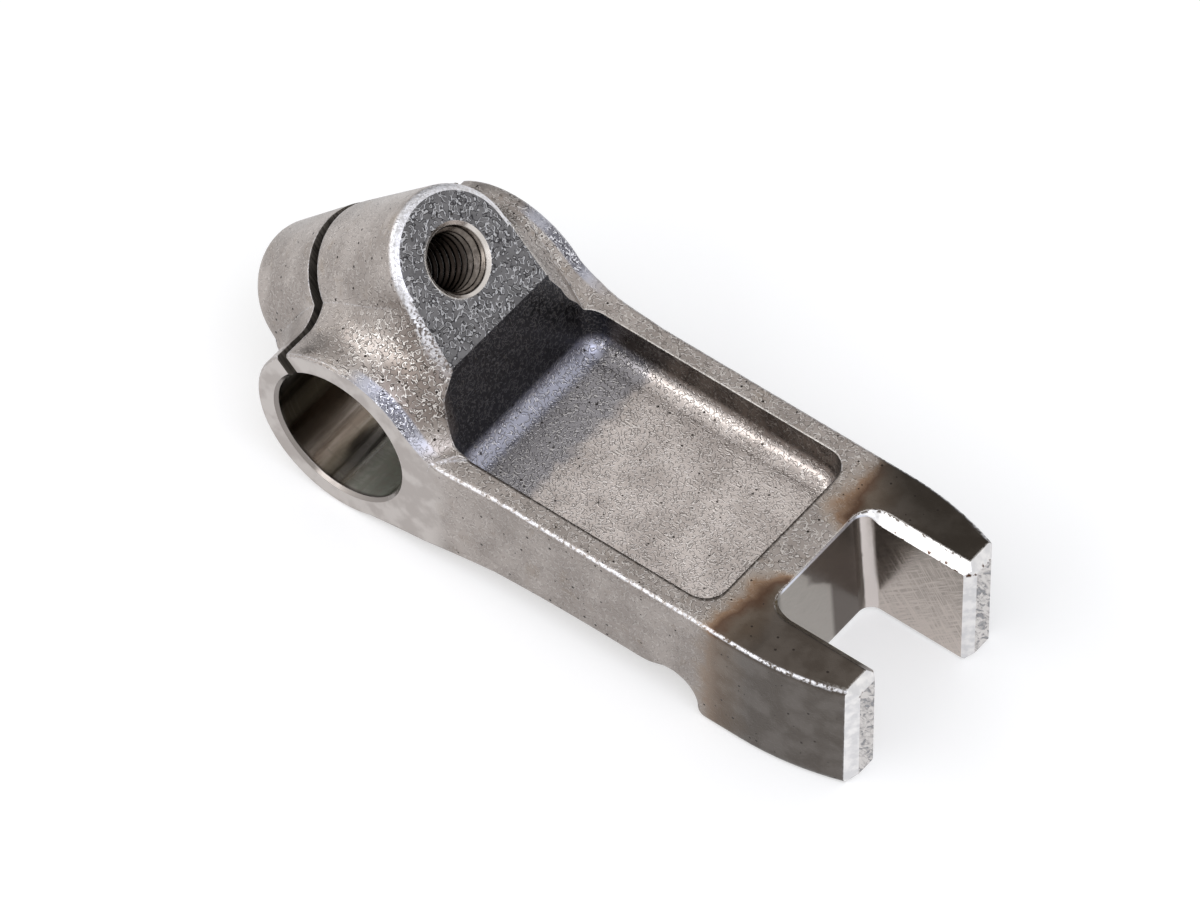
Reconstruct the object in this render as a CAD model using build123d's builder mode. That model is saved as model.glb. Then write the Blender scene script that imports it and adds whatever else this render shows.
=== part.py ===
from build123d import *
from math import atan2, cos, pi, radians, sin, sqrt, tan
import os

# Transmission shift fork, forged in steel as one piece and then machined.
# Millimetres. The origin is the centre of the shaft bore, +X runs from the bore to the tines,
# +Y runs along the bore and +Z is up: the fork stands on its hub and on the feet of its tines.

# Hub: the split tube that clamps on the shift shaft
bore_d = 22.0
hub_od = 29.0
hub_length = 40.7
bore_chamfer = 0.5
rim_bevel = 0.35

# Arm: the slab between the hub and the tines
arm_width = 39.2
arm_top = 5.9
arm_underside = 9.8
hub_face_margin = 0.5
arm_narrow_x = 27.0
arm_sink = 0.02
top_blend_r = 14.0
arch_end_x = 46.7
scoop_x = 58.0
scoop_depth = 1.3
scoop_lead_r = 8.0
heel_r = 1.6
top_edge_r = 0.8
under_edge_r = 0.9

# Tines, and the slot that the selector block slides in
tip_x = 87.3
tine_curve_x = 70.0
tine_curve_r = 48.0
slot_width = 20.8
slot_root_x = 68.4
slot_root_draft = 4.2
slot_corner_r = 2.2
slot_top_bevel = 1.5
slot_foot_bevel = 0.7
tip_bevel = 1.35
bevel_setback = 0.05

# Pocket in the top of the arm, with drafted walls
pocket_width = 30.8
pocket_front_x = 61.6
pocket_rear_x = 17.5
pocket_floor = 0.0
pocket_draft = 7.0
pocket_rear_draft = 14.3
pocket_front_r = 3.6
pocket_rear_r = 3.1
pocket_floor_r = 3.0

# Pinch-bolt boss: its axis leans up and forward and passes beside the bore
bolt_angle = 45.0
bolt_offset = 12.7
boss_r = 10.9
boss_face = 20.9
boss_lean = 5.5
boss_edge_r = 1.6
boss_flank = 30.0
boss_far_flank = 45.0
ear_length = 16.0
ear_taper = 2.2
ear_edge_r = 1.5
ear_heel = 2.0
heel_along = 0.92
heel_up = 0.3

# Flare that blends the boss into the hub and the arm
flare_r = 9.0
flare_near_r = 11.0
flare_ear_r = 3.0
flare_step = 15
flare_end = 75
flare_overlap = 0.05
flare_sink = 0.05
flare_root = 2.0

# Tapped hole in the front of the boss, clearance hole in the ear, and the slit between them
thread_d = 10.0
countersink_d = 11.0
clearance_d = 11.0
slit_width = 2.3
slit_shift = 0.35

# Values that follow from the sizes above
hub_r = hub_od / 2
hub_half = hub_length / 2
arm_half = arm_width / 2
slot_half = slot_width / 2
over = 2 * hub_od
tip_half = arm_half - tine_curve_r + sqrt(tine_curve_r**2 - (tip_x - tine_curve_x) ** 2)
pocket_half = pocket_width / 2 + (arm_top - pocket_floor) * tan(radians(pocket_draft))
bolt_dir = Vector(cos(radians(bolt_angle)), 0, sin(radians(bolt_angle)))
slit_dir = Vector(-bolt_dir.Z, 0, bolt_dir.X)
bolt_plane = Plane(origin=(0, 0, 0), x_dir=(0, 1, 0), z_dir=tuple(bolt_dir))
bolt_axis = Axis((0, 0, 0), tuple(bolt_dir))
slit_front = slit_shift + slit_width / 2
slit_back = slit_shift - slit_width / 2


def side_polygon(*corners):
    """Straight-sided shape in the side view, from distances along the bolt and along the slit."""
    places = [bolt_dir * along + slit_dir * up for along, up in corners]
    Polygon(*[(place.X, place.Z) for place in places], align=None)


# Arm: its side outline runs from the middle of the hub to the tips, and its arcs end just inside the hub
touch_r = hub_r - arm_sink
top_centre_x = sqrt((touch_r + top_blend_r) ** 2 - (arm_top + top_blend_r) ** 2)
top_centre = Vector(top_centre_x, arm_top + top_blend_r)
top_touch = top_centre * (touch_r / (touch_r + top_blend_r))
arch_r = (arch_end_x**2 + arm_underside**2 - touch_r**2) / (touch_r - arm_underside) / 2
arch_centre = Vector(arch_end_x, -arm_underside - arch_r)
arch_touch = arch_centre * (touch_r / (touch_r + arch_r))
scoop_r = hub_r - arm_underside + scoop_depth - heel_r
scoop_centre = Vector(scoop_x, heel_r - hub_r)
scoop_end_x = scoop_x + scoop_r
lead_reach = scoop_r + scoop_lead_r
lead_rise = lead_reach - scoop_depth
lead_centre = scoop_centre + Vector(-sqrt(lead_reach**2 - lead_rise**2), lead_rise)
scoop_start = scoop_centre + (lead_centre - scoop_centre) * (scoop_r / lead_reach)
with BuildPart() as arm:
    with BuildSketch(Plane.XZ):
        with BuildLine():
            Line((0, 0), top_touch)
            RadiusArc(top_touch, (top_centre.X, arm_top), -top_blend_r)
            Polyline(
                (top_centre.X, arm_top),
                (tip_x, arm_top),
                (tip_x, -hub_r),
                (scoop_end_x + heel_r, -hub_r),
            )
            RadiusArc((scoop_end_x + heel_r, -hub_r), (scoop_end_x, scoop_centre.Y), heel_r)
            RadiusArc((scoop_end_x, scoop_centre.Y), scoop_start, -scoop_r)
            RadiusArc(scoop_start, (lead_centre.X, -arm_underside), scoop_lead_r)
            Line((lead_centre.X, -arm_underside), (arch_centre.X, -arm_underside))
            RadiusArc((arch_centre.X, -arm_underside), arch_touch, -arch_r)
            Line(arch_touch, (0, 0))
        make_face()
    extrude(amount=hub_length, both=True)

    # Plan outline: the machined hub ends run on into the arm, and the tines curve in to the tips
    with BuildSketch(Plane.XY.offset(-over)):
        with BuildLine():
            for side in (1, -1):
                Polyline(
                    (0, 0),
                    (0, side * hub_half),
                    (hub_r + hub_face_margin, side * hub_half),
                    (arm_narrow_x, side * arm_half),
                    (tine_curve_x, side * arm_half),
                )
                RadiusArc((tine_curve_x, side * arm_half), (tip_x, side * tip_half), side * tine_curve_r)
                Line((tip_x, side * tip_half), (tip_x, 0))
        make_face()
    extrude(amount=2 * over, mode=Mode.INTERSECT)

    # Bevelled tips, and rounds along the outer edges above and below
    chamfer(faces().sort_by(Axis.X)[-1].edges(), tip_bevel)
    outer = edges().filter_by(Axis.Z, reverse=True).filter_by(lambda edge: abs(edge.center().Y) > tip_half)
    outer = outer.filter_by_position(Axis.X, top_edge_r, tip_x - tip_bevel)
    fillet(outer.filter_by_position(Axis.Z, 0, over), top_edge_r)
    fillet(outer.filter_by_position(Axis.Z, -over, 0), under_edge_r)

# Hub: a cylinder with its rims bevelled
with BuildPart() as hub:
    with BuildSketch(Plane.XZ):
        Circle(hub_r)
    extrude(amount=hub_half, both=True)
    chamfer(hub.edges().filter_by(GeomType.CIRCLE), rim_bevel)

# Boss: a round-topped block for the pinch bolt; its near side leans out and its face is rounded off
near_half = boss_r * cos(radians(boss_lean))
near_up = bolt_offset + boss_r * sin(radians(boss_lean))


def boss_half_width(side, place):
    """How far the boss or ear reaches from its middle below the bolt: side is 1 far and -1 near."""
    lean = tan(radians(boss_lean)) if side < 0 else 0
    half = (near_half if side < 0 else boss_r) + (near_up - place.dot(slit_dir)) * lean
    return half + min(place.dot(bolt_dir), 0) * tan(radians(ear_taper))


def boss_plan(along):
    """Section of the boss at a distance along the bolt: a round top and a near side that leans."""
    near_foot = boss_half_width(-1, slit_dir * -hub_r)
    with BuildSketch(bolt_plane.offset(along)) as plan:
        with BuildLine():
            Polyline((boss_r, bolt_offset), (boss_r, -hub_r), (-near_foot, -hub_r), (-near_half, near_up))
            ThreePointArc((-near_half, near_up), (0, bolt_offset + boss_r), (boss_r, bolt_offset))
        make_face()
    return plan.sketch


with BuildPart() as boss:
    extrude(boss_plan(slit_front), amount=boss_face - slit_front)
    fillet(boss.faces().sort_by(bolt_axis)[-1].edges().sort_by(Axis.Z)[1:], boss_edge_r)

# Ear: the boss carried on past the slit, tapered, with its end squared for the bolt's head
with BuildPart() as ear:
    extrude(boss_plan(slit_back), amount=-(ear_length + slit_back), taper=ear_taper)
    with BuildSketch(Plane.XZ):
        side_polygon(
            (-ear_length, over),
            (-ear_length, ear_heel),
            (-heel_along * hub_r, -heel_up * hub_r),
            (0, 0),
            (over, over),
        )
    extrude(amount=hub_length, both=True, mode=Mode.INTERSECT)
    fillet(ear.faces().sort_by(bolt_axis)[0].edges().sort_by(Axis.Z)[1:], ear_edge_r)


# Flare: slices that stand square to the hub and arm, with coves tangent to the boss's sides
def flare_slice(foot, out, near_r, far_r, bolt_rise=over, toe=0.0):
    """Slice at a foot in the side view: bolt_rise is the bolt's height there, toe narrows the slice."""
    coves = []
    for side, radius in ((-1, near_r), (1, far_r)):
        reach = boss_half_width(side, foot + out * radius) + radius
        reach -= toe * (reach - pocket_half)
        rise = max(radius - bolt_rise, 0)
        spread = sqrt(reach**2 - rise**2)
        lean = atan2(rise, spread)
        for angle in (lean, (lean + pi / 2) / 2, pi / 2):
            across = side * (spread - radius * cos(angle) - flare_overlap)
            coves.append((across, radius * (1 - sin(angle)) - flare_sink))
    near, far = coves[:3], coves[3:]
    with BuildSketch(Plane(origin=tuple(foot), x_dir=(0, 1, 0), z_dir=(out.Z, 0, -out.X))) as cut:
        with BuildLine():
            ThreePointArc(*far)
            Polyline(far[2], (far[2][0], -flare_root), (near[2][0], -flare_root), near[2])
            ThreePointArc(*near[::-1])
            Line(near[0], far[0])
        make_face()
    return cut.sketch


slices = []
for turn in range(-flare_end, flare_end + 1, flare_step):
    out = bolt_dir * sin(radians(turn)) + slit_dir * cos(radians(turn))
    far_r = flare_r + min(turn, 0) / flare_end * (flare_r - flare_ear_r)
    near_r = far_r + max(turn, 0) / flare_end * (flare_near_r - flare_r)
    bolt_rise = bolt_offset / cos(radians(turn)) - hub_r
    slices.append(flare_slice(out * hub_r, out, near_r, far_r, bolt_rise))
blend_start = atan2(top_centre.Y, top_centre.X) - pi
for share in (0, 1 / 3, 2 / 3, 1):
    angle = blend_start + share * (-pi / 2 - blend_start)
    out = Vector(-cos(angle), 0, -sin(angle))
    foot = Vector(top_centre.X, 0, top_centre.Y) - out * top_blend_r
    slices.append(flare_slice(foot, out, flare_near_r, flare_r, toe=share**2))
with BuildPart() as flare:
    add(slices)
    loft()
    with BuildSketch(Plane.XZ):
        side_polygon((-ear_length, -over), (-ear_length, over), (-over, over), (-over, -over))
        side_polygon((boss_face, -over), (boss_face, over), (over, over), (over, -over))
        side_polygon((slit_front, 0), (slit_front, over), (slit_back, over), (slit_back, 0))
    extrude(amount=hub_length, both=True, mode=Mode.SUBTRACT)

# Flanks: the front ends of the flare fall away from the boss's rounded edges
def flank_cut(side, top_half, top_up, lean, fall):
    """What a flank takes away: side is 1 far and -1 near, fall is how far the flank leans back."""
    edge_dir = slit_dir * cos(radians(lean)) - Vector(0, side * sin(radians(lean)), 0)
    edge_start = bolt_dir * (boss_face - boss_edge_r) + slit_dir * top_up + Vector(0, side * top_half, 0)
    start = boss_edge_r * cos(radians(fall))
    inset = boss_edge_r * (1 - sin(radians(fall)))
    with BuildPart() as cut:
        with BuildSketch(Plane(origin=tuple(edge_start), x_dir=tuple(bolt_dir), z_dir=tuple(edge_dir))):
            Polygon(
                (start, -side * inset),
                (over, -side * inset),
                (over, side * hub_od),
                (start - (hub_od + inset) * tan(radians(fall)), side * hub_od),
                align=None,
            )
        extrude(amount=-hub_od)
    return cut.part


flanks = [
    flank_cut(-1, near_half, near_up, boss_lean, boss_flank),
    flank_cut(1, boss_r, bolt_offset, 0, boss_far_flank),
]


# Pocket: drafted walls that also shape the front of the boss, and a rounded floor
def pocket_plan(level):
    """Plan of the pocket at a level."""
    rise = level - pocket_floor
    front = pocket_front_x + rise * tan(radians(pocket_draft))
    rear = pocket_rear_x - rise * tan(radians(pocket_rear_draft))
    with BuildSketch(Plane.XY.offset(level)) as plan:
        with Locations(((front + rear) / 2, 0)):
            Rectangle(front - rear, pocket_width + 2 * rise * tan(radians(pocket_draft)))
        fillet(plan.vertices().group_by(Axis.X)[-1], pocket_front_r)
        fillet(plan.vertices().group_by(Axis.X)[0], pocket_rear_r)
    return plan.sketch


pocket_plans = [pocket_plan(level) for level in (pocket_floor, hub_od)]
with BuildPart() as pocket:
    add(pocket_plans)
    loft(ruled=True)
    fillet(pocket.faces().sort_by(Axis.Z)[0].edges(), pocket_floor_r)


# Slot between the tines: its root leans, and its long edges are bevelled above and below
def slot_root(level):
    """Where the slot's root is at a level."""
    return slot_root_x + (arm_top - level) * tan(radians(slot_root_draft))


def slot_plan(level, root):
    """Plan of the slot at a level, open past the tips: root is where it ends."""
    with BuildSketch(Plane.XY.offset(level)) as plan:
        with Locations((root + hub_od, 0)):
            Rectangle(2 * hub_od, slot_width)
        fillet(plan.vertices().group_by(Axis.X)[0], slot_corner_r)
    return plan.sketch


foot_bevel_z = slot_foot_bevel - hub_r
mouth_half = slot_half + 2 * tip_bevel
root_dir = (-sin(radians(slot_root_draft)), 0, cos(radians(slot_root_draft)))
foot_plan = slot_plan(-hub_od, slot_root(-hub_od))
top_bevel_plan = slot_plan(arm_top - slot_top_bevel, slot_root_x + slot_top_bevel - bevel_setback)
foot_bevel_plan = slot_plan(foot_bevel_z, slot_root(foot_bevel_z))
with BuildPart() as slot:
    extrude(foot_plan, amount=2 * hub_od, dir=root_dir)
with BuildPart() as top_bevel:
    extrude(top_bevel_plan, amount=2 * slot_top_bevel, taper=-45)
with BuildPart() as foot_bevel:
    extrude(foot_bevel_plan, amount=-2 * slot_foot_bevel, taper=-45)
with BuildPart() as mouth_bevel:
    with BuildSketch(Plane.XY.offset(-over)):
        Polygon(
            (tip_x - tip_bevel - slot_half, 0),
            (tip_x + tip_bevel, -mouth_half),
            (tip_x + tip_bevel, mouth_half),
            align=None,
        )
    extrude(amount=2 * over)

# Shaft bore: it opens out at both ends
bore_r = bore_d / 2
bore_end = hub_half + bore_chamfer
with BuildPart() as bore:
    with BuildSketch():
        Polygon(
            (0, -bore_end),
            (bore_r + 2 * bore_chamfer, -bore_end),
            (bore_r, 2 * bore_chamfer - bore_end),
            (bore_r, bore_end - 2 * bore_chamfer),
            (bore_r + 2 * bore_chamfer, bore_end),
            (0, bore_end),
            align=None,
        )
    revolve(axis=Axis.Y)

# The upper parts are trimmed to the hub's length, joined to the arm and cut together with it
with BuildPart() as upper:
    add(boss.part)
    add(ear.part)
    add(flare.part)
    add(flanks, mode=Mode.SUBTRACT)
    Box(2 * over, hub_length, 2 * over, mode=Mode.INTERSECT)
with BuildPart() as shift_fork:
    add(arm.part)
    add(hub.part)
    add(upper.part)
    for cutter in (pocket, slot, top_bevel, foot_bevel, mouth_bevel, bore):
        add(cutter.part, mode=Mode.SUBTRACT)

    # Slit through the hub's wall and between the boss and the ear
    with BuildSketch(Plane.XZ):
        side_polygon((slit_front, 0), (slit_front, over), (slit_back, over), (slit_back, 0))
    extrude(amount=hub_length, both=True, mode=Mode.SUBTRACT)

    # Tapped hole with its countersink, and the clearance hole
    with Locations(bolt_plane.offset(slit_shift)):
        with Locations((0, bolt_offset)):
            for radius, way in ((thread_d / 2, Align.MIN), (clearance_d / 2, Align.MAX)):
                Cylinder(radius, over, align=(Align.CENTER, Align.CENTER, way), mode=Mode.SUBTRACT)
    with Locations(bolt_plane.offset(boss_face)):
        with Locations((0, bolt_offset)):
            Cone(
                thread_d / 2,
                countersink_d / 2,
                (countersink_d - thread_d) / 2,
                align=(Align.CENTER, Align.CENTER, Align.MAX),
                mode=Mode.SUBTRACT,
            )

shift_fork.part.label = "shift_fork"
os.makedirs("parts", exist_ok=True)
export_step(shift_fork.part, "parts/shift_fork.step")
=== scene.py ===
"""Looks of a transmission shift fork: a blasted forging with machined faces and heat-tinted tines."""

import math

import bmesh
import bpy
from mathutils import Matrix, Vector


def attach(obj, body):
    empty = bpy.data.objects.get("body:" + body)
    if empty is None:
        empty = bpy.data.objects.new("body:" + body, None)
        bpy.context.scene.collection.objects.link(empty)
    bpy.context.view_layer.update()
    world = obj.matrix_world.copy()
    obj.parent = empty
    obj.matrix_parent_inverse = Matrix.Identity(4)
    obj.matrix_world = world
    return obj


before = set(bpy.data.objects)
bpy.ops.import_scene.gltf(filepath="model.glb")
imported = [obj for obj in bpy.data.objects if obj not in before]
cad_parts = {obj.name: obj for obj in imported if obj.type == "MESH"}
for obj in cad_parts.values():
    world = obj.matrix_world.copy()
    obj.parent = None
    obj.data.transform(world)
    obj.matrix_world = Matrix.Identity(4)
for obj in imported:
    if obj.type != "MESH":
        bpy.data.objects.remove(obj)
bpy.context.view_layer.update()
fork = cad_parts["shift_fork"]

# Sizes of the fork in millimetres, in its own frame: +X to the tines, +Y along the bore, +Z up
MM = 0.001
BORE_R = 11.0
BORE_MOUTH_R = 11.6
HUB_R = 14.5
HUB_HALF = 20.35
ARM_HALF = 19.6
ARM_TOP = 5.9
POCKET_HALF = 15.4
POCKET_FRONT = 61.6
POCKET_REAR = 17.5
POCKET_DRAFT = math.radians(7.0)
POCKET_REAR_DRAFT = math.radians(14.3)
POCKET_CORNER = 3.1
LIP_FRONT = 62.32
LIP_HALF = 16.12
SLOT_HALF = 10.4
SLOT_ROOT = 68.4
SLOT_BEVEL = 1.5
ROOT_CURVE_END = 77.3
TIP_BEVEL = 1.35
TIP_X = 87.3
BOLT_OFFSET = 12.7
CLEARANCE_R = 5.5
BOSS_FACE = 20.9
BOSS_X = 30.0
SLIT_SHIFT = 0.35
SLIT_HALF = 1.15

# Thread of the tapped hole: the ridge rises by THREAD_RISE depths in a pitch, up to its flat crest
THREAD_R = 5.0
THREAD_PITCH = 1.5
THREAD_DEPTH = 0.8
THREAD_RISE = 2.5
THREAD_START = SLIT_SHIFT + SLIT_HALF + 0.05
THREAD_END = BOSS_FACE - 0.5
THREAD_LEAST = 0.05
THREAD_AROUND = 96
THREAD_ROWS_PER_TURN = 12
SLEEVE_WALL = 0.3
BORE_FACETS = 256

# Tolerance on where a face lies, and the gap that keeps the floor off the hub
NEAR = 0.08
FLOOR_GAP = 0.05

# How squarely a face looks along a direction: the cosine of the angle between the two
SQUARE_ON = 0.98
NEARLY_SQUARE_ON = 0.95
MOSTLY_TOWARDS = 0.9
PARTLY_TOWARDS = 0.4
HARDLY_TOWARDS = 0.3

# Curls that steel shot left, in millimetres. Shot dents are taken to be finer than this, but a pixel of the
# picture is 0.14 mm, so they are drawn as coarse as they need to show
SHOT_CURL = 0.52
RIM_CURL = 0.42
BOSS_CURL = 0.6

# Other marks on the steel, in millimetres. Pits, grinding scratches and a reamer's rings are taken to be
# finer than this, and are drawn as coarse as they need to show
PIT_CELL = 1.0
PIT_SIZE = 0.42
RUB_FLECK = 0.45
EDGE_REACH = 0.45
GRIND_LINE = 0.25
REAM_RING = 0.25
SAW_LINE = 0.3
END_SCRATCH = 0.12

# Heat tint: where along the fork it starts and is full, and its bands, each a place, a colour and a cover
TINT_START = 62.0
TINT_END = 72.0
TINT_BANDS = (
    (0.0, "A99C8C", 0.0),
    (0.16, "A3917E", 0.3),
    (0.33, "8A6E56", 0.85),
    (0.46, "5F4A3D", 1.0),
    (0.62, "64594F", 1.0),
    (1.0, "57504A", 1.0),
)

# The bolt's axis leans up and forward at 45 degrees, and the slit lies across it
BOLT_DIR = Vector((math.sqrt(0.5), 0.0, math.sqrt(0.5)))
SLIT_DIR = Vector((-math.sqrt(0.5), 0.0, math.sqrt(0.5)))

# Settings of the nodes that the finishes use most
PAINT = {"data_type": "RGBA"}
SMOOTH = {"interpolation_type": "SMOOTHSTEP"}
ABSOLUTE = {"operation": "ABSOLUTE"}
ADD = {"operation": "ADD"}
DOT = {"operation": "DOT_PRODUCT"}
LENGTH = {"operation": "LENGTH"}
MAXIMUM = {"operation": "MAXIMUM"}
MINIMUM = {"operation": "MINIMUM"}
MULTIPLY = {"operation": "MULTIPLY"}
MULTIPLY_ADD = {"operation": "MULTIPLY_ADD"}
SUBTRACT = {"operation": "SUBTRACT"}


def linear(code):
    """Linear colour with alpha from an sRGB hex code."""
    parts = [int(code[start:start + 2], 16) / 255 for start in (0, 2, 4)]
    return [part / 12.92 if part <= 0.04045 else ((part + 0.055) / 1.055) ** 2.4 for part in parts] + [1.0]


def add(tree, kind, settings, *values, **named):
    """Adds a node. Its inputs in use take the values in order, and the named ones theirs: a number, the hex
    code of a colour, or a socket to link. Gives the one output in use, or all of them to pick from."""
    made = tree.nodes.new("ShaderNode" + kind)
    for name, setting in settings.items():
        setattr(made, name, setting)
    in_use = [socket for socket in made.inputs if socket.enabled]
    feeds = [(made.inputs[name], value) for name, value in named.items()]
    for socket, value in [*zip(in_use, values), *feeds]:
        if isinstance(value, bpy.types.NodeSocket):
            tree.links.new(value, socket)
        else:
            socket.default_value = linear(value) if isinstance(value, str) else value
    given = [socket for socket in made.outputs if socket.enabled]
    return given[0] if len(given) == 1 else made.outputs


# Parts of a finish, shared by the materials below. Places are in millimetres, in the fork's own frame


def steel(name):
    """Bare steel with nothing on it yet: the material, its nodes, and places on it in millimetres."""
    material = bpy.data.materials.new(name)
    material.use_nodes = True
    tree = material.node_tree
    tree.nodes["Principled BSDF"].inputs["Metallic"].default_value = 1.0
    place = add(tree, "TexCoord", {})["Object"]
    return material, tree, add(tree, "VectorMath", {"operation": "SCALE"}, place, 1 / MM)


def patch(tree, *limits, strength=1.0):
    """Soft-edged patch: each limit has a value, where it starts, where it ends, and the levels there."""
    share = strength
    for limit in limits:
        share = add(tree, "Math", MULTIPLY, share, add(tree, "MapRange", SMOOTH, *limit))
    return share


def paint(tree, colour, over, *limits, strength=1.0):
    """Lays a second colour over the first in a soft-edged patch."""
    return add(tree, "Mix", PAINT, patch(tree, *limits, strength=strength), colour, over)


def mottle(tree, mm, size, start, full, low=0.0, high=1.0, detail=3.0, distortion=0.0):
    """Uneven tone from low to high, in patches size millimetres across."""
    noise = add(tree, "TexNoise", {}, Vector=mm, Scale=1 / size, Detail=detail, Distortion=distortion)
    return add(tree, "MapRange", SMOOTH, noise["Fac"], start, full, low, high)


def waver(tree, mm, size, reach, detail=3.0):
    """Unevenness of a border, which runs to and fro over reach millimetres in waves about size long."""
    noise = add(tree, "TexNoise", {}, Vector=mm, Scale=1 / size, Detail=detail)
    return add(tree, "MapRange", {}, noise["Fac"], 0.0, 1.0, -reach / 2, reach / 2)


def grain(tree, mm, lengths, turn=(0.0, 0.0, 0.0), detail=3.0, distortion=0.0):
    """Grain with a direction: lengths are its size along three axes, which are turned by angles."""
    placed = add(tree, "Mapping", {"vector_type": "TEXTURE"}, mm, Rotation=turn, Scale=lengths)
    return add(tree, "TexNoise", {}, Vector=placed, Scale=1.0, Detail=detail, Distortion=distortion)["Fac"]


def line_at(tree, field, level, strength):
    """Thin line where a noise has one level."""
    away = add(tree, "Math", ABSOLUTE, add(tree, "Math", SUBTRACT, field, level))
    return patch(tree, (away, 0.075, 0.02), strength=strength)


def pits(tree, mm, apart, share, size):
    """Round pits that a cell of apart millimetres holds with a chance of share: 1 inside, 0 outside."""
    cells = add(tree, "TexVoronoi", {}, Vector=mm, Scale=1 / apart)
    pick = add(tree, "SeparateColor", {}, cells["Color"])["Red"]
    reach = add(tree, "MapRange", SMOOTH, pick, 1 - share, 1.0, 0.0, size / apart / 2)
    return add(tree, "Math", {"operation": "LESS_THAN"}, cells["Distance"], reach)


def shot_marks(tree, mm, colour, strength, size=SHOT_CURL, light="E4E0DC", dark="3A3531"):
    """Skin beaten by shot: curls about size apart, with a painted highlight on one side and painted shade
    on the other, and pits.
    """
    field = add(tree, "TexNoise", {}, Vector=mm, Scale=1 / size, Detail=0.0, Distortion=0.2)["Fac"]
    whole = mottle(tree, mm, size * 1.4, 0.34, 0.46, detail=0.0)
    ridges = line_at(tree, field, 0.57, whole)
    hollows = line_at(tree, field, 0.45, whole)
    holes = pits(tree, mm, apart=PIT_CELL, share=0.4, size=PIT_SIZE)
    # Painted highlight on the curls' ridges and painted shade in their hollows
    colour = paint(tree, colour, light, strength=add(tree, "Math", MULTIPLY, ridges, strength))
    colour = paint(tree, colour, dark, strength=add(tree, "Math", MULTIPLY, hollows, strength))
    colour = paint(tree, colour, "2A2522", strength=add(tree, "Math", MULTIPLY, holes, 0.85))
    standing = add(tree, "Math", SUBTRACT, ridges, hollows)
    return colour, add(tree, "Math", SUBTRACT, standing, holes)


def edge_turn(tree, radius):
    """How the surface turns within radius of a sharp edge: zero away from edges, and near 1 long on one."""
    rounded = add(tree, "Bevel", {"samples": 4}, radius * MM)
    return add(tree, "VectorMath", SUBTRACT, rounded, add(tree, "NewGeometry", {})["Normal"])


def surface(material, colour, roughness, height, relief, edge):
    """Joins a finish to the shader: relief, and the radius that edges are worn to, are in millimetres."""
    tree = material.node_tree
    worn = add(tree, "Bevel", {"samples": 4}, add(tree, "Math", MULTIPLY, edge, MM))
    bumped = add(tree, "Bump", {}, Height=height, Distance=relief * MM, Normal=worn)
    shader = tree.nodes["Principled BSDF"].inputs
    for name, feed in (("Base Color", colour), ("Roughness", roughness), ("Normal", bumped)):
        tree.links.new(feed, shader[name])
    return material


def heat_tint(tree, mm, colour):
    """Oxide left by hardening: straw, brown, then a burnt grey that is darkest on the far tine."""
    along, across, height = add(tree, "SeparateXYZ", {}, mm)
    # The border lies further forward between the tines, leans a little, and wavers
    inward = add(tree, "Math", SUBTRACT, 9.5, add(tree, "Math", ABSOLUTE, across))
    inward = add(tree, "Math", MAXIMUM, inward, 0.0)
    reach = add(tree, "Math", MULTIPLY_ADD, across, -0.03, along)
    reach = add(tree, "Math", MULTIPLY_ADD, add(tree, "Math", MULTIPLY, inward, inward), -0.2, reach)
    reach = add(tree, "Math", ADD, reach, waver(tree, mm, 3.5, 5.0))
    share = add(tree, "MapRange", {}, reach, TINT_START, TINT_END)
    bands = add(tree, "ValToRGB", {}, share)
    stops = bands["Color"].node.color_ramp.elements
    for place, _, _ in TINT_BANDS[1:-1]:
        stops.new(place)
    for stop, (_, code, cover) in zip(stops, TINT_BANDS):
        stop.color = linear(code)[:3] + [cover]
    to_far_tip = add(tree, "Math", MULTIPLY_ADD, along, 0.5, across)
    burnt = paint(tree, bands["Color"], "3E3934", (to_far_tip, 46.0, 54.0))
    side = add(tree, "Mix", PAINT, share, "8B7B6B", "6A6561")
    burnt = paint(tree, burnt, side, (height, ARM_TOP - 0.5, ARM_TOP - 1.5), strength=0.75)
    smoke = add(tree, "Mix", PAINT, mottle(tree, mm, 3.5, 0.35, 0.65), "DDDAD7", "FFFFFF")
    burnt = add(tree, "Mix", {**PAINT, "blend_type": "MULTIPLY"}, 1.0, burnt, smoke)
    return paint(tree, colour, burnt, strength=bands["Alpha"]), bands["Alpha"]


def forged_skin(tree, mm):
    """Colour and relief of the blasted forging, which the machined ends fade into."""
    along, across, height = add(tree, "SeparateXYZ", {}, mm)
    _, _, up = add(tree, "SeparateXYZ", {}, add(tree, "NewGeometry", {})["Normal"])
    aside = add(tree, "Math", ABSOLUTE, across)
    colour = add(tree, "Mix", PAINT, mottle(tree, mm, 6.0, 0.36, 0.64, detail=5.0), "958D88", "ABA39E")
    rust = mottle(tree, mm, 3.2, 0.56, 0.72, 0.0, 0.45, detail=4.0, distortion=0.5)
    colour = paint(tree, colour, "8A7D70", strength=rust)
    colour = paint(tree, colour, "857D78", (along, 10.0, 35.0), strength=0.3)
    left_scale = mottle(tree, mm, 2.5, 0.3, 0.6, 0.55, 0.95)
    near_flank = (along, 2.0, 8.0), (across, -9.0, -11.5), (height, 8.0, 11.0)
    colour = paint(tree, colour, "7C726C", *near_flank, strength=left_scale)
    # How strongly the curls' painted highlight and shade show: more on flat tops and in the cove
    flat_top = patch(tree, (up, 0.6, 0.9), (height, 8.0, 6.5), strength=0.22)
    cove = patch(tree, (aside, 9.0, 13.0), (height, 7.0, 11.0), (along, -8.0, 4.0), strength=0.55)
    beaten = add(tree, "Math", ADD, add(tree, "Math", MAXIMUM, flat_top, cove), 0.2)
    return shot_marks(tree, mm, colour, beaten)


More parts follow.
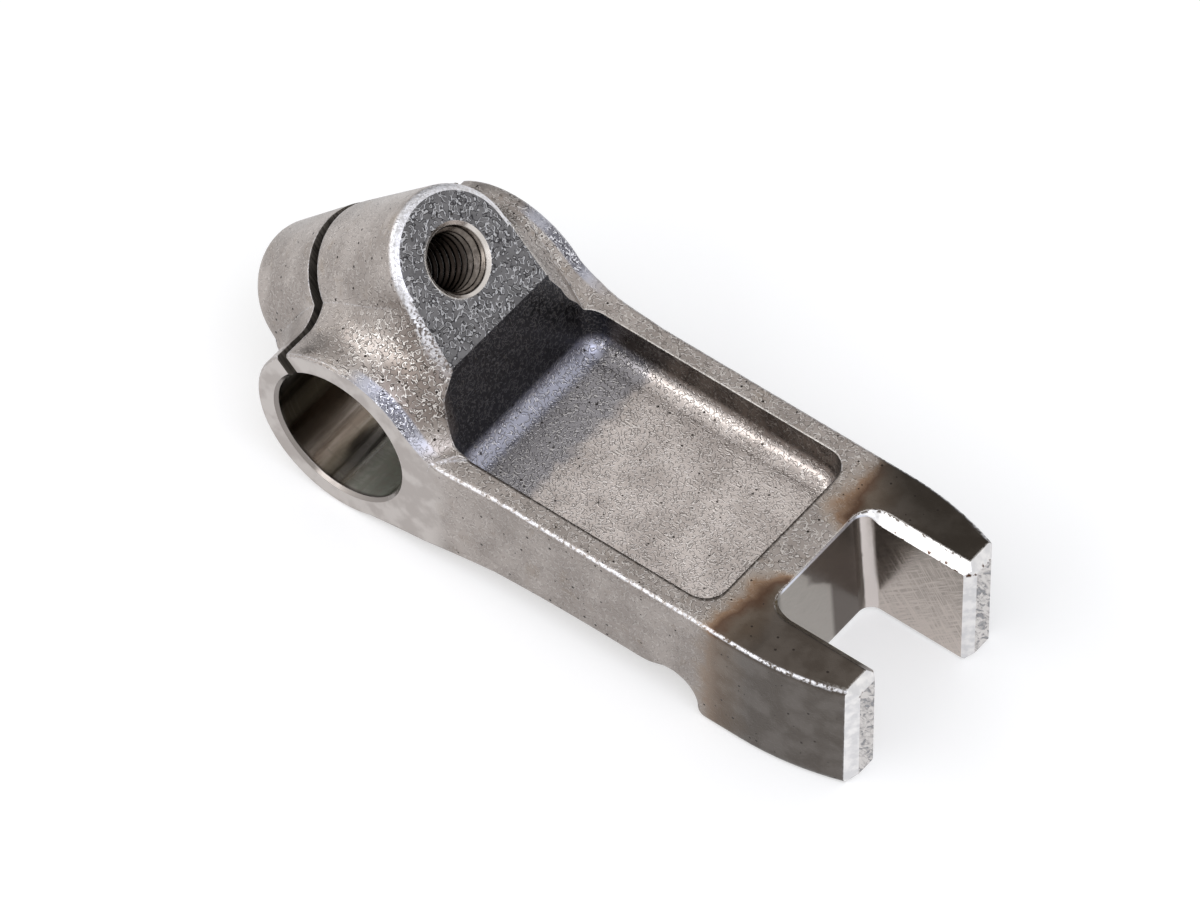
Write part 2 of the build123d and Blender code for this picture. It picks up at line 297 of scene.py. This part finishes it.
def scarred_rim(tree, mm, colour):
    """Facets around the hub's rim: a painted cool sheen, and struck all over where they run down to the
    arm.
    """
    along, across, height = add(tree, "SeparateXYZ", {}, mm)
    _, outward, _ = add(tree, "SeparateXYZ", {}, add(tree, "NewGeometry", {})["Normal"])
    aside = add(tree, "Math", ABSOLUTE, across)
    slanting = (add(tree, "Math", ABSOLUTE, outward), 0.9, 0.7)
    rim = patch(tree, (aside, 18.0, 18.6), (along, 1.0, 4.5), (height, 6.0, 8.0), slanting, strength=0.6)
    scarred = patch(tree, (along, 5.5, 7.5, 0.0, 1.5), (along, 14.0, 11.5), strength=rim)
    # Painted sheen of cool light on the slanting facets
    colour = paint(tree, colour, "B4B8C8", strength=rim)
    colour = paint(tree, colour, "66656C", strength=add(tree, "Math", MULTIPLY, scarred, 0.9))
    return shot_marks(tree, mm, colour, scarred, RIM_CURL, "F4F4FA", "3C3B40")[0]


def arris_highlights_and_wear(tree, mm, colour, flecks, turn):
    """Painted highlights along the arm's arrises and around the boss's face, and sharp edges rubbed bright,
    in flecks lower down.
    """
    along, across, height = add(tree, "SeparateXYZ", {}, mm)
    _, outward, up = add(tree, "SeparateXYZ", {}, add(tree, "NewGeometry", {})["Normal"])
    depth = add(tree, "VectorMath", DOT, mm, BOLT_DIR)
    behind_face = (along, 24.0, 20.0)
    # Painted highlight along the boss's far edge
    far_edge_highlight = (depth, BOSS_FACE - 0.7, BOSS_FACE - 0.3), (across, 5.0, 7.0), behind_face
    colour = paint(tree, colour, "E6DFD8", *far_edge_highlight, strength=0.85)
    # Painted highlight on the arm's rounded top edges and a broad one on the upper rim of the boss's face
    slant = add(tree, "Math", MINIMUM, add(tree, "Math", ABSOLUTE, outward), up)
    arris_highlight = (slant, 0.3, 0.6), (height, 4.9, 5.3), (height, 6.5, 6.2), (along, 13.0, 16.0)
    arris_highlight = patch(tree, *arris_highlight, strength=0.75)
    brow_highlight = patch(tree, (depth, BOSS_FACE - 1.4, BOSS_FACE - 0.6), behind_face)
    brow_highlight = patch(tree, (height, 14.0, 22.0, 0.1, 0.95), (height, 9.0, 12.0), strength=brow_highlight)
    # Sharp edges rubbed bright, partly wear and partly painted highlight
    sharp = patch(tree, (add(tree, "VectorMath", LENGTH, turn), 0.2, 0.5), strength=0.7)
    edges = add(tree, "Math", MAXIMUM, add(tree, "Math", MAXIMUM, arris_highlight, brow_highlight), sharp)
    unbroken = patch(tree, (height, 20.0, 26.0), strength=0.8)
    covered = add(tree, "Math", MAXIMUM, patch(tree, (flecks, 0.34, 0.58)), unbroken)
    colour = paint(tree, colour, "DFDFE4", strength=add(tree, "Math", MULTIPLY, edges, covered))
    speckled = (height, 25.0, 21.0, 0.25, 1.0), (flecks, 0.5, 0.4, 0.0, 0.75)
    return paint(tree, colour, "4A4440", *speckled, strength=brow_highlight)


def pocket_lip(tree, mm, colour, flecks, turn):
    """Lips of the pocket: a painted highlight where they turn to the lamp, and painted shade along the near
    and front ones.
    """
    along, across, height = add(tree, "SeparateXYZ", {}, mm)
    aside = add(tree, "Math", ABSOLUTE, across)
    inward = add(tree, "VectorMath", DOT, turn, (-0.6, 0.8, 0.0))
    lips = patch(tree, (height, 4.0, 5.0), (height, 7.0, 6.5), (aside, 17.5, 16.8))
    # Painted highlight where a lip turns to the lamp, broken into flecks, and painted shade where it turns
    # away
    colour = paint(tree, colour, "DCD8D4", (inward, -0.06, -0.2), (flecks, 0.3, 0.5), strength=lips)
    colour = paint(tree, colour, "322C28", (inward, 0.03, 0.14, 0.0, 0.9), strength=lips)
    past_end = add(tree, "Math", SUBTRACT, along, LIP_FRONT - POCKET_CORNER)
    past_end = add(tree, "Math", MAXIMUM, past_end, 0.0)
    past_side = add(tree, "Math", SUBTRACT, aside, LIP_HALF - POCKET_CORNER)
    past_side = add(tree, "Math", MAXIMUM, past_side, 0.0)
    from_lip = add(tree, "VectorMath", LENGTH, add(tree, "CombineXYZ", {}, past_end, past_side))
    from_lip = add(tree, "Math", SUBTRACT, from_lip, POCKET_CORNER)
    # Painted shade in a dark line along the near and front lips
    groove = patch(tree, (from_lip, 0.5, 0.2), (from_lip, -0.5, -0.2), (flecks, 0.3, 0.55, 0.3, 0.9))
    level = (height, ARM_TOP - 0.6, ARM_TOP - 0.3), (height, ARM_TOP + 0.3, ARM_TOP + 0.1)
    return paint(tree, colour, "3E3732", *level, (across, 13.0, 9.0), strength=groove)


# Materials of the fork, one for each way that its steel was worked


def make_blasted_forging():
    """Forged and shot-blasted: a warm grey with curled marks and pits, painted highlights on the arrises,
    and burnt tines.
    """
    material, tree, mm = steel("blasted_forging_steel")
    height = add(tree, "SeparateXYZ", {}, mm)["Z"]
    depth = add(tree, "VectorMath", DOT, mm, BOLT_DIR)
    flecks = add(tree, "TexNoise", {}, Vector=mm, Scale=1 / RUB_FLECK, Detail=1.0)["Fac"]
    turn = edge_turn(tree, EDGE_REACH)
    colour, marks = forged_skin(tree, mm)
    colour, burnt = heat_tint(tree, mm, colour)
    colour = scarred_rim(tree, mm, colour)
    colour = arris_highlights_and_wear(tree, mm, colour, flecks, turn)
    colour = pocket_lip(tree, mm, colour, flecks, turn)
    relief = patch(tree, (burnt, 0.0, 1.0, 1.0, 0.3), strength=marks)
    cove = patch(tree, (height, 8.0, 12.0), (depth, 4.0, 7.0), (depth, 19.5, 18.0, 0.3, 2.2))
    roughness = mottle(tree, mm, 5.0, 0.3, 0.7, 0.28, 0.36)
    return surface(material, colour, roughness, relief, 0.025, add(tree, "Math", ADD, cove, 0.6))


def make_hub_end():
    """Faced on a lathe: lighter and smoother, fading into the forging where the arm narrows."""
    material, tree, mm = steel("faced_hub_steel")
    colour, marks = forged_skin(tree, mm)
    aside = add(tree, "Math", ABSOLUTE, add(tree, "SeparateXYZ", {}, mm)["Y"])
    faced = patch(tree, (aside, HUB_HALF - 0.35, HUB_HALF - 0.05))
    lathe = add(tree, "Mix", PAINT, mottle(tree, mm, 3.5, 0.4, 0.6, detail=5.0), "AAA39F", "BDB7B3")
    holes = add(tree, "Math", MULTIPLY, pits(tree, mm, apart=1.6, share=0.25, size=0.26), 0.6)
    lathe = paint(tree, lathe, "3A3531", strength=holes)
    left = add(tree, "Math", MULTIPLY, add(tree, "Math", SUBTRACT, 1.0, faced), marks)
    roughness = add(tree, "MapRange", SMOOTH, faced, 0.0, 1.0, 0.35, 0.3)
    return surface(material, paint(tree, colour, lathe, strength=faced), roughness, left, 0.02, 0.15)


def make_boss_face():
    """As forged under the bolt's head: a cool, dark face with strong curls and a painted highlight along
    its far edge.
    """
    material, tree, mm = steel("flecked_boss_steel")
    tone = mottle(tree, mm, 2.5, 0.35, 0.65, detail=4.0)
    colour = add(tree, "Mix", PAINT, tone, "656466", "757476")
    colour, marks = shot_marks(tree, mm, colour, 0.85, BOSS_CURL, "BEBEC1", "2F2E30")
    # Painted highlight along the face's far edge
    to_far = add(tree, "SeparateXYZ", {}, edge_turn(tree, 0.5))["Y"]
    colour = paint(tree, colour, "E6DFD8", (to_far, 0.08, 0.3))
    roughness = add(tree, "MapRange", SMOOTH, tone, 0.0, 1.0, 0.26, 0.3)
    return surface(material, colour, roughness, marks, 0.035, 0.3)


def make_pocket():
    """Forged pocket: a pale beaten floor, painted shade on its walls and on the floor by the rear wall, and
    a painted cool reflection at the rear wall's foot.
    """
    material, tree, mm = steel("pocket_forging_steel")
    along, across, height = add(tree, "SeparateXYZ", {}, mm)
    colour = add(tree, "Mix", PAINT, mottle(tree, mm, 6.0, 0.36, 0.64, detail=5.0), "AEA5A0", "C6BDB8")
    # Painted reflection of the dark rear wall on the floor in front of it
    border = add(tree, "Math", ADD, along, waver(tree, mm, 2.5, 4.0))
    colour = paint(tree, colour, "8E8B8E", (border, 29.0, 26.5))
    # Painted reflection of cool light in the rounded foot of the rear wall
    colour = paint(tree, colour, "9C9DAB", (along, 21.0, 19.4), (height, 3.6, 2.0))
    # Painted shade on the walls, darkest on the rear wall
    scale = add(tree, "Mix", PAINT, mottle(tree, mm, 2.5, 0.35, 0.65, detail=4.0), "3E3834", "534C47")
    scale = paint(tree, scale, "38383C", (along, 21.0, 19.0))
    up_wall = patch(tree, (height, 1.2, 2.8))
    colour = paint(tree, colour, scale, strength=up_wall)
    near_corner = (across, -12.5, -15.5), (height, 5.0, 8.0), (along, 24.0, 20.0)
    colour = paint(tree, colour, "7C726C", *near_corner, strength=0.85)
    strength = add(tree, "MapRange", SMOOTH, up_wall, 0.0, 1.0, 0.42, 0.12)
    colour, marks = shot_marks(tree, mm, colour, strength)
    return surface(material, colour, mottle(tree, mm, 5.0, 0.3, 0.7, 0.26, 0.34), marks, 0.03, 0.3)


def make_ground_wall():
    """Ground slot walls: slanting scratches, painted shade in patches by the far corner, and a painted
    highlight stripe in it.
    """
    material, tree, mm = steel("ground_steel")
    along, across, height = add(tree, "SeparateXYZ", {}, mm)
    _, outward, _ = add(tree, "SeparateXYZ", {}, add(tree, "NewGeometry", {})["Normal"])
    facing_across = add(tree, "Math", ABSOLUTE, outward)
    rising = grain(tree, mm, (3.5, 3.5, GRIND_LINE), (0.4, -0.75, 0.0), detail=2.0)
    falling = grain(tree, mm, (GRIND_LINE, 3.5, 3.5), (0.0, -0.6, 0.3), detail=2.0)
    lines = add(tree, "Math", MAXIMUM, rising, falling)
    tone = add(tree, "Math", MULTIPLY_ADD, height, -0.04, add(tree, "Math", MULTIPLY, lines, 3.5))
    colour = add(tree, "Mix", PAINT, patch(tree, (tone, 1.2, 2.7)), "968F88", "C3B9B2")
    at_root = patch(tree, (along, SLOT_ROOT + 1.9, SLOT_ROOT + 1.4))
    colour = paint(tree, colour, "9B9791", strength=add(tree, "Math", MULTIPLY, at_root, 0.8))
    uneven = waver(tree, mm, 3.0, 4.0, detail=0.5)
    # Painted shade on the root wall, in a slanting band and towards the far corner
    slope = add(tree, "Math", ADD, add(tree, "Math", MULTIPLY_ADD, height, 0.8, across), uneven)
    far_side = patch(tree, (across, 2.0, 3.2))
    root_painted_shade = add(tree, "Math", MAXIMUM, patch(tree, (slope, -0.6, 0.6)), far_side)
    colour = paint(tree, colour, "5E5650", strength=add(tree, "Math", MULTIPLY, root_painted_shade, at_root))
    # Painted shade in a patch on the side walls next to the root
    side = add(tree, "Math", ADD, add(tree, "Math", MULTIPLY_ADD, height, -0.5, along), uneven)
    past_root = (along, SLOT_ROOT + 2.2, SLOT_ROOT + 2.6)
    dark_side = (side, SLOT_ROOT + 7.5, SLOT_ROOT + 3.5), (height, -5.5, -1.5), past_root
    colour = paint(tree, colour, "6B655F", *dark_side, strength=0.65)
    # Painted highlight in the rounded far corner
    corner_highlight = (facing_across, 0.45, 0.6), (facing_across, 0.995, 0.98), (across, 6.0, 8.0)
    colour = paint(tree, colour, "DAD2CE", *corner_highlight)
    colour = paint(tree, colour, "453A28", (across, -8.0, -9.2), (height, -1.0, 1.5), strength=0.9)
    top_line = (height, ARM_TOP - 0.8, ARM_TOP - 0.5), (across, -8.5, -7.5)
    colour = paint(tree, colour, "E3E6F2", *top_line, strength=at_root)
    roughness = add(tree, "MapRange", SMOOTH, lines, 0.3, 0.7, 0.17, 0.26)
    return surface(material, colour, roughness, lines, 0.004, 0.2)


def make_bored_wall():
    """Reamed bore: bright streaks along it, painted shade on both sides, and a dull green-grey bloom in
    front.
    """
    material, tree, mm = steel("reamed_steel")
    along, across, height = add(tree, "SeparateXYZ", {}, mm)
    rings = grain(tree, mm, (8.0, REAM_RING, 8.0), detail=2.0)
    streaks = grain(tree, mm, (1.8, 25.2, 1.8))
    colour = add(tree, "Mix", PAINT, patch(tree, (streaks, 0.4, 0.6)), "BDB4AC", "F2EEEA")
    aside = add(tree, "Math", MULTIPLY_ADD, streaks, 3.0, add(tree, "Math", ABSOLUTE, along))
    # Painted shade on both sides at middle height
    colour = paint(tree, colour, "6E655C", (aside, 6.5, 9.5), (height, -9.4, -8.0), (height, 3.0, 0.5))
    colour = paint(tree, colour, "8C847C", (rings, 0.52, 0.7), strength=0.35)
    bloom = patch(tree, (along, -2.0, 2.0), (height, -6.0, -8.0))
    mottled = add(tree, "Math", MULTIPLY, bloom, mottle(tree, mm, 0.9, 0.35, 0.65, 0.6, 1.0))
    colour = paint(tree, colour, "C3C7BC", strength=mottled)
    from_middle = add(tree, "Math", ABSOLUTE, across)
    colour = paint(tree, colour, "8A8480", (from_middle, HUB_HALF - 1.2, HUB_HALF - 0.6))
    roughness = add(tree, "MapRange", SMOOTH, streaks, 0.35, 0.65, 0.14, 0.26)
    roughness = add(tree, "Math", MAXIMUM, roughness, add(tree, "Math", MULTIPLY, bloom, 0.46))
    return surface(material, colour, roughness, rings, 0.002, 0.1)


def make_fresh_cut():
    """Bevels ground by hand: nearly white, with burnt chips along their edges and tar at the near side."""
    material, tree, mm = steel("fresh_cut_steel")
    along, across, height = add(tree, "SeparateXYZ", {}, mm)
    colour = add(tree, "Mix", PAINT, mottle(tree, mm, 1.5, 0.35, 0.65, detail=4.0), "D4D3D4", "EAE8E7")
    lower = (height, ARM_TOP - 0.9, ARM_TOP - 1.3), (height, 3.8, 4.2)
    colour = paint(tree, colour, "4A2E1E", *lower, strength=mottle(tree, mm, 1.5, 0.55, 0.6))
    upper = (height, ARM_TOP - 0.35, ARM_TOP - 0.1), (along, TIP_X - 1.5, TIP_X - 2.0)
    colour = paint(tree, colour, "57504A", *upper, strength=mottle(tree, mm, 0.7, 0.5, 0.56))
    near_side = (across, -8.6, -9.8), (along, TIP_X - 1.5, TIP_X - 3.5)
    colour = paint(tree, colour, "4F432C", *near_side, strength=0.9)
    bumps = add(tree, "TexNoise", {}, Vector=mm, Scale=1.0, Detail=3.0)["Fac"]
    roughness = add(tree, "MapRange", SMOOTH, bumps, 0.3, 0.7, 0.3, 0.42)
    return surface(material, colour, roughness, bumps, 0.08, 0.3)


def make_tip_end():
    """Struck ends of the tines: pale, with slanting dents and scratches across them."""
    material, tree, mm = steel("dented_end_steel")
    marks = grain(tree, mm, (1.5, 0.75, 2.4), (0.7, 0.0, 0.0), detail=1.5, distortion=0.8)
    deep = patch(tree, (marks, 0.45, 0.37))
    scratches = patch(tree, (grain(tree, mm, (1.0, END_SCRATCH, 3.0), (0.5, 0.0, 0.0)), 0.6, 0.68))
    colour = add(tree, "Mix", PAINT, patch(tree, (marks, 0.4, 0.6)), "B0ACAA", "D3CFCC")
    colour = paint(tree, colour, "6A6D74", strength=add(tree, "Math", MULTIPLY, deep, 0.7))
    colour = paint(tree, colour, "77787C", strength=add(tree, "Math", MULTIPLY, scratches, 0.5))
    height = add(tree, "Math", SUBTRACT, marks, add(tree, "Math", ADD, deep, scratches))
    roughness = add(tree, "MapRange", SMOOTH, marks, 0.3, 0.7, 0.22, 0.34)
    return surface(material, colour, roughness, height, 0.05, 0.3)


def make_tapped_wall():
    """Cut thread: a painted highlight at its mouth, and painted shade further in."""
    material, tree, mm = steel("thread_steel_painted_shade")
    depth = add(tree, "VectorMath", DOT, mm, BOLT_DIR)
    tone = mottle(tree, mm, 1.0, 0.35, 0.65, detail=4.0)
    mouth_tone = add(tree, "Mix", PAINT, tone, "67605A", "877F78")
    # Painted shade deeper in the hole
    colour = add(tree, "Mix", PAINT, patch(tree, (depth, 14.5, BOSS_FACE - 0.6)), "2B2521", mouth_tone)
    # Painted highlight in a ring at the mouth
    colour = paint(tree, colour, "CFC9C4", (depth, BOSS_FACE - 0.6, BOSS_FACE - 0.4))
    roughness = add(tree, "MapRange", SMOOTH, tone, 0.0, 1.0, 0.2, 0.32)
    return surface(material, colour, roughness, tone, 0.004, 0.08)


def make_sawn_wall():
    """Sawn slit: dull and dark, with dust in it."""
    material, tree, mm = steel("sawn_steel")
    lines = grain(tree, mm, (6.0, SAW_LINE, 6.0))
    colour = add(tree, "Mix", PAINT, patch(tree, (lines, 0.35, 0.65)), "5A5550", "7C766F")
    roughness = add(tree, "MapRange", SMOOTH, lines, 0.3, 0.7, 0.45, 0.55)
    return surface(material, colour, roughness, lines, 0.01, 0.15)


# Finish of each zone of the fork, in the order of its material slots
FINISHES = {
    "forging": make_blasted_forging(),
    "hub_end": make_hub_end(),
    "boss_face": make_boss_face(),
    "pocket": make_pocket(),
    "ground": make_ground_wall(),
    "bored": make_bored_wall(),
    "bevel": make_fresh_cut(),
    "tip_end": make_tip_end(),
    "tapped": make_tapped_wall(),
    "sawn": make_sawn_wall(),
}


def in_pocket(x, y, z):
    """Whether the middle of a face is on the pocket's floor or walls, below the top of the arm."""
    rise = max(z, 0.0)
    rear = POCKET_REAR - rise * math.tan(POCKET_REAR_DRAFT)
    front = POCKET_FRONT + rise * math.tan(POCKET_DRAFT)
    half = POCKET_HALF + rise * math.tan(POCKET_DRAFT)
    return -NEAR < z < ARM_TOP - NEAR and rear - NEAR < x < front + NEAR and abs(y) < half + NEAR


def on_rear_wall(point):
    """Whether a point is on the pocket's rear wall or its rounded corners, which go on above the arm."""
    rear = POCKET_REAR - point.z * math.tan(POCKET_REAR_DRAFT) + POCKET_CORNER
    half = POCKET_HALF + point.z * math.tan(POCKET_DRAFT) - POCKET_CORNER
    gap = math.hypot(max(rear - point.x, 0.0), max(abs(point.y) - half, 0.0)) - POCKET_CORNER
    return abs(gap) < NEAR and point.x < BOSS_X and point.z > 0.0


def zone(points, centre, normal):
    """Which finish a face of the fork has, from its corners and middle in millimetres and its normal."""
    x, y, z = centre
    # Places along the bolt's axis and across it, from the fork's origin
    depth = centre.dot(BOLT_DIR)
    rise = centre.dot(SLIT_DIR)
    to_bolt = normal.dot(BOLT_DIR)
    if math.hypot(x, z) < BORE_MOUTH_R and abs(y) < HUB_HALF:
        return "bored"
    if math.hypot(y, rise - BOLT_OFFSET) < CLEARANCE_R + NEAR:
        return "tapped"
    if abs(depth - SLIT_SHIFT) < SLIT_HALF + NEAR and rise > 0 and abs(to_bolt) > MOSTLY_TOWARDS:
        return "sawn"
    if depth > BOSS_FACE - NEAR and to_bolt > NEARLY_SQUARE_ON and x < BOSS_X:
        return "boss_face"
    if x > TIP_X - NEAR:
        return "tip_end"
    in_slot = x > SLOT_ROOT - SLOT_BEVEL - NEAR and abs(y) < SLOT_HALF + SLOT_BEVEL + NEAR
    in_slot = in_slot and z < ARM_TOP - NEAR
    upright = abs(normal.z) < HARDLY_TOWARDS
    if in_slot and upright and (abs(normal.y) > SQUARE_ON or x < ROOT_CURVE_END):
        return "ground"
    if in_slot and normal.z > -MOSTLY_TOWARDS:
        return "bevel"
    if x > TIP_X - TIP_BEVEL - NEAR and normal.x > PARTLY_TOWARDS:
        return "bevel"
    if in_pocket(x, y, z) or all(on_rear_wall(point) for point in points):
        return "pocket"
    if abs(y) > ARM_HALF + NEAR and abs(normal.y) > SQUARE_ON:
        return "hub_end"
    return "forging"


def dress(node):
    """Gives each face of the fork the finish of its zone."""
    mesh = node.data
    mesh.materials.clear()
    names = list(FINISHES)
    for name in names:
        mesh.materials.append(FINISHES[name])
    for face in mesh.polygons:
        points = [mesh.vertices[index].co / MM for index in face.vertices]
        face.material_index = names.index(zone(points, face.center / MM, face.normal))


def cut_away(piece, cutter):
    """Cuts one piece out of another for good."""
    cut = piece.modifiers.new("cut", "BOOLEAN")
    cut.object = cutter
    cut.solver = "EXACT"
    shape = bpy.data.meshes.new_from_object(piece.evaluated_get(bpy.context.evaluated_depsgraph_get()))
    piece.modifiers.clear()
    piece.data = shape
    bpy.data.objects.remove(cutter)


def crest(turns):
    """How far up the ridge a place is, from the groove's least height to 1 on the crest."""
    rise = THREAD_RISE / 2 - THREAD_RISE * abs(turns % 1.0 - 0.5)
    return min(1.0, max(THREAD_LEAST, rise))


def thread_ring(work, along, depth):
    """One ring of points around the tapped hole: depth is how far the ridge stands out from its wall."""
    side_dir = BOLT_DIR.cross(SLIT_DIR)
    points = []
    for step in range(THREAD_AROUND):
        angle = 2 * math.pi * step / THREAD_AROUND
        out = SLIT_DIR * math.cos(angle) + side_dir * math.sin(angle)
        radius = THREAD_R - depth * crest(along / THREAD_PITCH - step / THREAD_AROUND)
        points.append(work.verts.new((SLIT_DIR * BOLT_OFFSET + BOLT_DIR * along + out * radius) * MM))
    return points


def make_thread():
    """Thread of the tapped hole: a thin sleeve with one helical ridge, open where the bore cuts it."""
    length = THREAD_END - THREAD_START
    rows = round(length / THREAD_PITCH * THREAD_ROWS_PER_TURN)
    work = bmesh.new()
    rings = []
    for row in range(rows + 1):
        along = THREAD_START + length * row / rows
        full = min(1.0, THREAD_LEAST + (THREAD_END - along) / THREAD_PITCH)
        rings.append(thread_ring(work, along, THREAD_DEPTH * full))
    rings.append(thread_ring(work, THREAD_END, -SLEEVE_WALL))
    rings.append(thread_ring(work, THREAD_START, -SLEEVE_WALL))
    for low, high in zip(rings, rings[1:] + rings[:1]):
        for step in range(THREAD_AROUND):
            following = (step + 1) % THREAD_AROUND
            work.faces.new((low[step], low[following], high[following], high[step]))
    bmesh.ops.recalc_face_normals(work, faces=work.faces)
    mesh = bpy.data.meshes.new("thread_ridges")
    work.to_mesh(mesh)
    work.free()
    piece = bpy.data.objects.new("thread_ridges", mesh)
    bpy.context.collection.objects.link(piece)

    bpy.ops.mesh.primitive_cylinder_add(vertices=BORE_FACETS, radius=BORE_R * MM, depth=4 * HUB_HALF * MM)
    bore = bpy.context.object
    bore.rotation_euler = (math.pi / 2, 0.0, 0.0)
    cut_away(piece, bore)
    for face in piece.data.polygons:
        face.use_smooth = True
    piece.data.materials.clear()
    piece.data.materials.append(FINISHES["tapped"])
    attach(piece, "root")


dress(fork)
make_thread()

# View of the photograph: angles of the line of sight, scale, and where the fork's origin shows
IMAGE_WIDTH = 1200
IMAGE_HEIGHT = 900
VIEW_TURN = math.radians(52.05)
VIEW_HEIGHT = math.radians(50.9)
VIEW_ROLL = math.radians(-0.23)
VIEW_DISTANCE = 1.686
VIEW_END = 20.0
PIXELS_PER_M = 7114.3
ORIGIN_PIXEL = (428.1, 348.8)
SENSOR_MM = 36.0

# Studio, in metres: how strongly the floor glows, and how much of its white the room gives as light
FLOOR_SIDE = 6.0
FLOOR_GLOW = 0.42
ROOM_LIGHT = 0.6
DULL_PAINT = 0.9


def add_camera():
    """Camera at the photograph's viewing angle."""
    turn_cos = math.cos(VIEW_TURN)
    turn_sin = math.sin(VIEW_TURN)
    rise_cos = math.cos(VIEW_HEIGHT)
    rise_sin = math.sin(VIEW_HEIGHT)
    back = Vector((rise_cos * turn_cos, -rise_cos * turn_sin, rise_sin))
    level = Vector((turn_sin, turn_cos, 0.0))
    upright = back.cross(level)
    right = level * math.cos(VIEW_ROLL) + upright * math.sin(VIEW_ROLL)
    above = back.cross(right)
    aside = right * (IMAGE_WIDTH / 2 - ORIGIN_PIXEL[0]) + above * (ORIGIN_PIXEL[1] - IMAGE_HEIGHT / 2)
    place = back * VIEW_DISTANCE + aside / PIXELS_PER_M
    data = bpy.data.cameras.new("camera")
    data.sensor_width = SENSOR_MM
    data.lens = PIXELS_PER_M * VIEW_DISTANCE * SENSOR_MM / IMAGE_WIDTH
    data.clip_end = VIEW_END
    camera = bpy.data.objects.new("camera", data)
    camera.matrix_world = Matrix.Translation(place) @ Matrix((right, above, back)).transposed().to_4x4()
    bpy.context.collection.objects.link(camera)
    bpy.context.scene.camera = camera


def seen_directly(tree):
    """1 for what the camera sees, straight or in a reflection, and 0 for scattered light."""
    path = add(tree, "LightPath", {})
    mirrored = add(tree, "Math", MAXIMUM, path["Is Camera Ray"], path["Is Glossy Ray"])
    return add(tree, "Math", MAXIMUM, mirrored, path["Is Transmission Ray"])


def aim(thing, direction, distance):
    """Places something at a distance from the fork and turns it square to it."""
    thing.location = Vector(direction).normalized() * distance
    thing.rotation_euler = Vector(direction).to_track_quat("Z", "Y").to_euler()


def add_lamp(name, code, direction, distance, width, height, power):
    """Soft lamp that faces the fork."""
    data = bpy.data.lights.new(name, "AREA")
    data.color = linear(code)[:3]
    data.shape = "RECTANGLE"
    data.size = width
    data.size_y = height
    data.energy = power
    lamp = bpy.data.objects.new(name, data)
    aim(lamp, direction, distance)
    bpy.context.collection.objects.link(lamp)


def flat_sheet(name, width, height, material):
    """Flat rectangle around the origin that belongs to the studio."""
    x = width / 2
    y = height / 2
    mesh = bpy.data.meshes.new(name)
    mesh.from_pydata([(-x, -y, 0), (x, -y, 0), (x, y, 0), (-x, y, 0)], [], [(0, 1, 2, 3)])
    mesh.materials.append(material)
    sheet = bpy.data.objects.new(name, mesh)
    bpy.context.collection.objects.link(sheet)
    return sheet


def matt_paint(name, code):
    """Matt paint of one colour: it shows no highlight, so that the eye sees only how light it is."""
    material = bpy.data.materials.new(name)
    material.use_nodes = True
    shader = material.node_tree.nodes["Principled BSDF"].inputs
    shader["Base Color"].default_value = linear(code)
    shader["Roughness"].default_value = DULL_PAINT
    return material, shader


def add_floor():
    """White floor under the fork, lit a little from below like a light table, so shadows stay faint."""
    material, shader = matt_paint("white_floor_paint", "D2D2D2")
    tree = material.node_tree
    shader["Emission Color"].default_value = linear("FFFFFF")
    glow = add(tree, "Math", MULTIPLY, seen_directly(tree), FLOOR_GLOW)
    tree.links.new(glow, shader["Emission Strength"])
    floor = flat_sheet("floor", FLOOR_SIDE, FLOOR_SIDE, material)
    floor.location.z = -(HUB_R + FLOOR_GAP) * MM


def add_card(name, code, direction, distance, width, height):
    """Darker card that only the metal reflects."""
    card = flat_sheet(name, width, height, matt_paint(name, code)[0])
    aim(card, direction, distance)
    card.visible_camera = False
    card.visible_diffuse = False
    card.visible_shadow = False


def add_world():
    """White room: full white to the eye and in reflections, dimmer as a source of light."""
    world = bpy.data.worlds.new("white_room")
    bpy.context.scene.world = world
    world.use_nodes = True
    tree = world.node_tree
    background = tree.nodes["Background"].inputs
    background["Color"].default_value = linear("FFFFFF")
    strength = add(tree, "MapRange", SMOOTH, seen_directly(tree), 0.0, 1.0, ROOM_LIGHT, 1.0)
    tree.links.new(strength, background["Strength"])


add_camera()
add_world()
add_floor()
add_lamp("window_lamp", "FFFFFF", (-0.53, -0.58, 0.62), distance=1.3, width=2.2, height=0.5, power=8.5)
add_lamp("sky_lamp", "EEF2FF", (0.5, -0.2, 0.84), distance=1.2, width=0.8, height=0.8, power=4.0)
add_card("far_card", "1E1E20", (-0.62, 0.74, 0.22), distance=0.8, width=0.85, height=0.32)
bpy.context.scene.view_settings.view_transform = "Standard"
